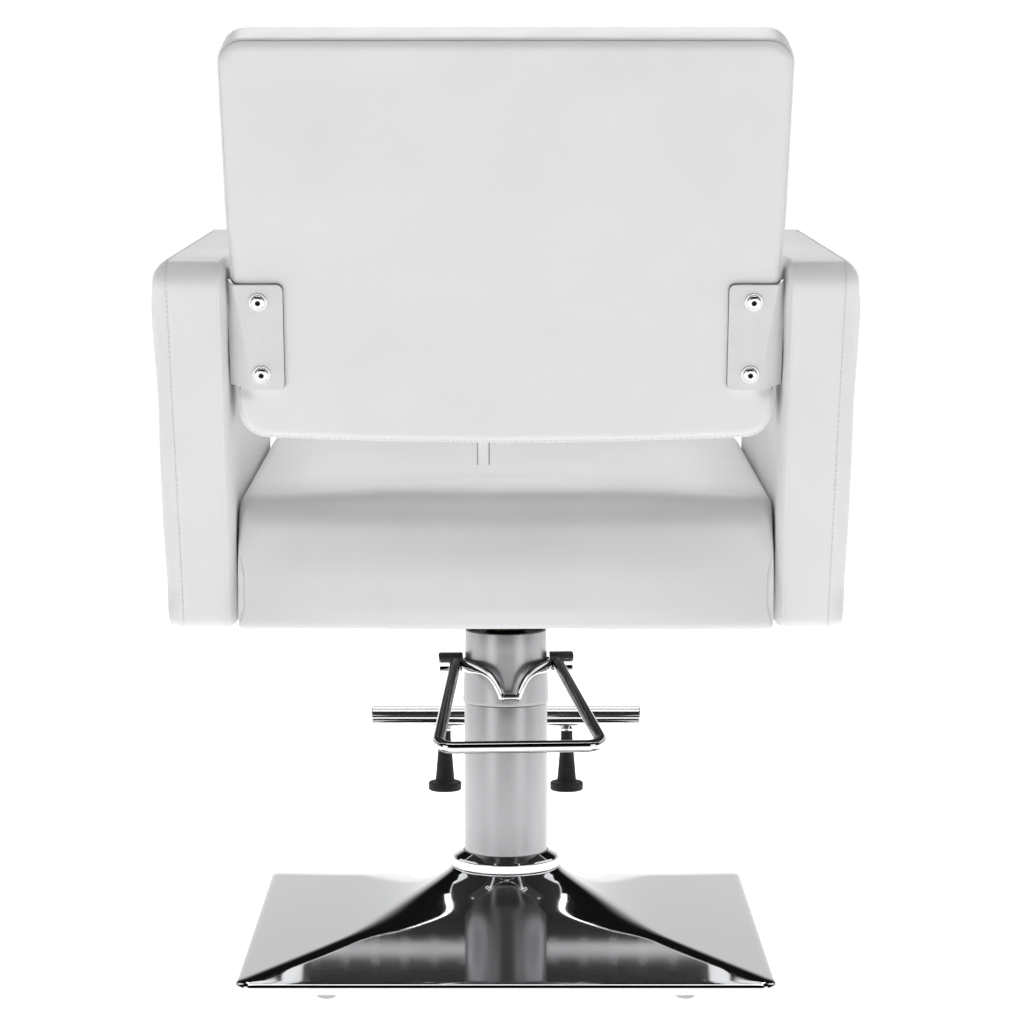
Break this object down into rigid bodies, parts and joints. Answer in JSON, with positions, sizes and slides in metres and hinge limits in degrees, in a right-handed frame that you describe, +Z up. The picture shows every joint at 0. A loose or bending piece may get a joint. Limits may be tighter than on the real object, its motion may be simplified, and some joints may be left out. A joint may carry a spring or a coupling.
{
  "type": "styling chair",
  "caption": "Salon styling chair: padded seat, armrests and leaning back on a swivelling hydraulic pump with foot pedal, T-bar footrest and square chrome base.",
  "frame": {"origin": "on the floor under the pump's axis, which is the centre of the square base and of the overall box", "axes": "+Z up; the sitter faces -Y, so +Y is the back and the pump pedal; +X is the sitter's left"},
  "size_m": [0.6236, 0.6817, 0.8729],
  "materials": {
    "chrome": "mirror-bright chrome plate",
    "satin_tube": "satin nickel-plated steel",
    "steel": "plain steel",
    "brass": "turned bronze",
    "black_plastic": "black moulded plastic",
    "rubber": "black rubber",
    "glide_plastic": "translucent grey plastic",
    "plywood": "bare plywood",
    "lining": "black dust cloth",
    "foam_pad": "foam covered in white imitation leather",
    "upholstery": "white imitation leather with a fine grain",
    "white_paint": "white powder coat",
    "label_cloth": "white woven tape"
  },
  "bodies": {
    "base": {"base_cover": "chrome", "base_plate": "steel", "base_glide_1": "glide_plastic", "flange_bolt_1": "steel", "base_glide_2": "glide_plastic", "flange_bolt_2": "steel", "base_glide_3": "glide_plastic", "flange_bolt_3": "steel", "base_glide_4": "glide_plastic", "flange_bolt_4": "steel", "pump_collar": "chrome", "pump_flange": "steel", "pump_tube": "satin_tube", "pump_sleeve": "satin_tube", "sleeve_cap": "black_plastic", "ram_bush": "brass", "valve_block": "steel", "plunger_spring": "steel"},
    "ram": {"ram_rod": "chrome", "ram_piston": "steel", "piston_seal": "rubber", "thrust_washer": "brass"},
    "seat": {"seat_hub": "steel", "seat_mount_plate": "steel", "seat_lining": "lining", "seat_board": "plywood", "seat_cushion": "foam_pad", "arm_left": "foam_pad", "arm_right": "foam_pad", "arm_board_left": "plywood", "arm_board_right": "plywood", "back_cushion": "foam_pad", "back_board": "plywood", "back_panel": "upholstery", "back_bracket_left": "white_paint", "back_bracket_right": "white_paint", "back_tag": "label_cloth", "footrest_socket": "steel", "footrest_screw": "black_plastic", "footrest_stem": "chrome", "footrest_bar": "chrome", "bumper_ferrule_left": "chrome", "bumper_ferrule_right": "chrome", "footrest_bumper_left": "rubber", "footrest_bumper_right": "rubber", "mount_bolt_1": "steel", "bracket_bolt_1": "chrome", "mount_bolt_2": "steel", "bracket_bolt_2": "chrome", "mount_bolt_3": "steel", "bracket_bolt_3": "chrome", "mount_bolt_4": "steel", "bracket_bolt_4": "chrome"},
    "pedal": {"pedal_yoke": "chrome", "pedal_loop": "chrome", "pedal_shaft_left": "steel", "pedal_shaft_right": "steel", "pump_lever": "steel"},
    "plunger": {"pump_plunger": "steel"}
  },
  "joints": [
    {"name": "lift", "type": "slide", "parent": "base", "child": "ram", "axis": [0, 0, 1], "range_m": [0, 0.15]},
    {"name": "swivel", "type": "hinge", "parent": "ram", "child": "seat", "pos_m": [0, 0, 0.3119], "axis": [0, 0, 1], "continuous": true},
    {"name": "pedal_press", "type": "hinge", "parent": "base", "child": "pedal", "pos_m": [0, 0, 0.277], "axis": [-0.9976, -0.0698, 0], "range_deg": [0, 20], "stiffness_Nm_per_rad": 6, "springref_deg": -20.05},
    {"name": "plunger_stroke", "type": "slide", "parent": "base", "child": "plunger", "axis": [0, 0, -1], "range_m": [0, 0.0056], "deforming": ["plunger_spring"]}
  ],
  "couplings": [
    {"joint": "plunger_stroke", "follows": "pedal_press", "m_per_rad": 0.01576}
  ]
}
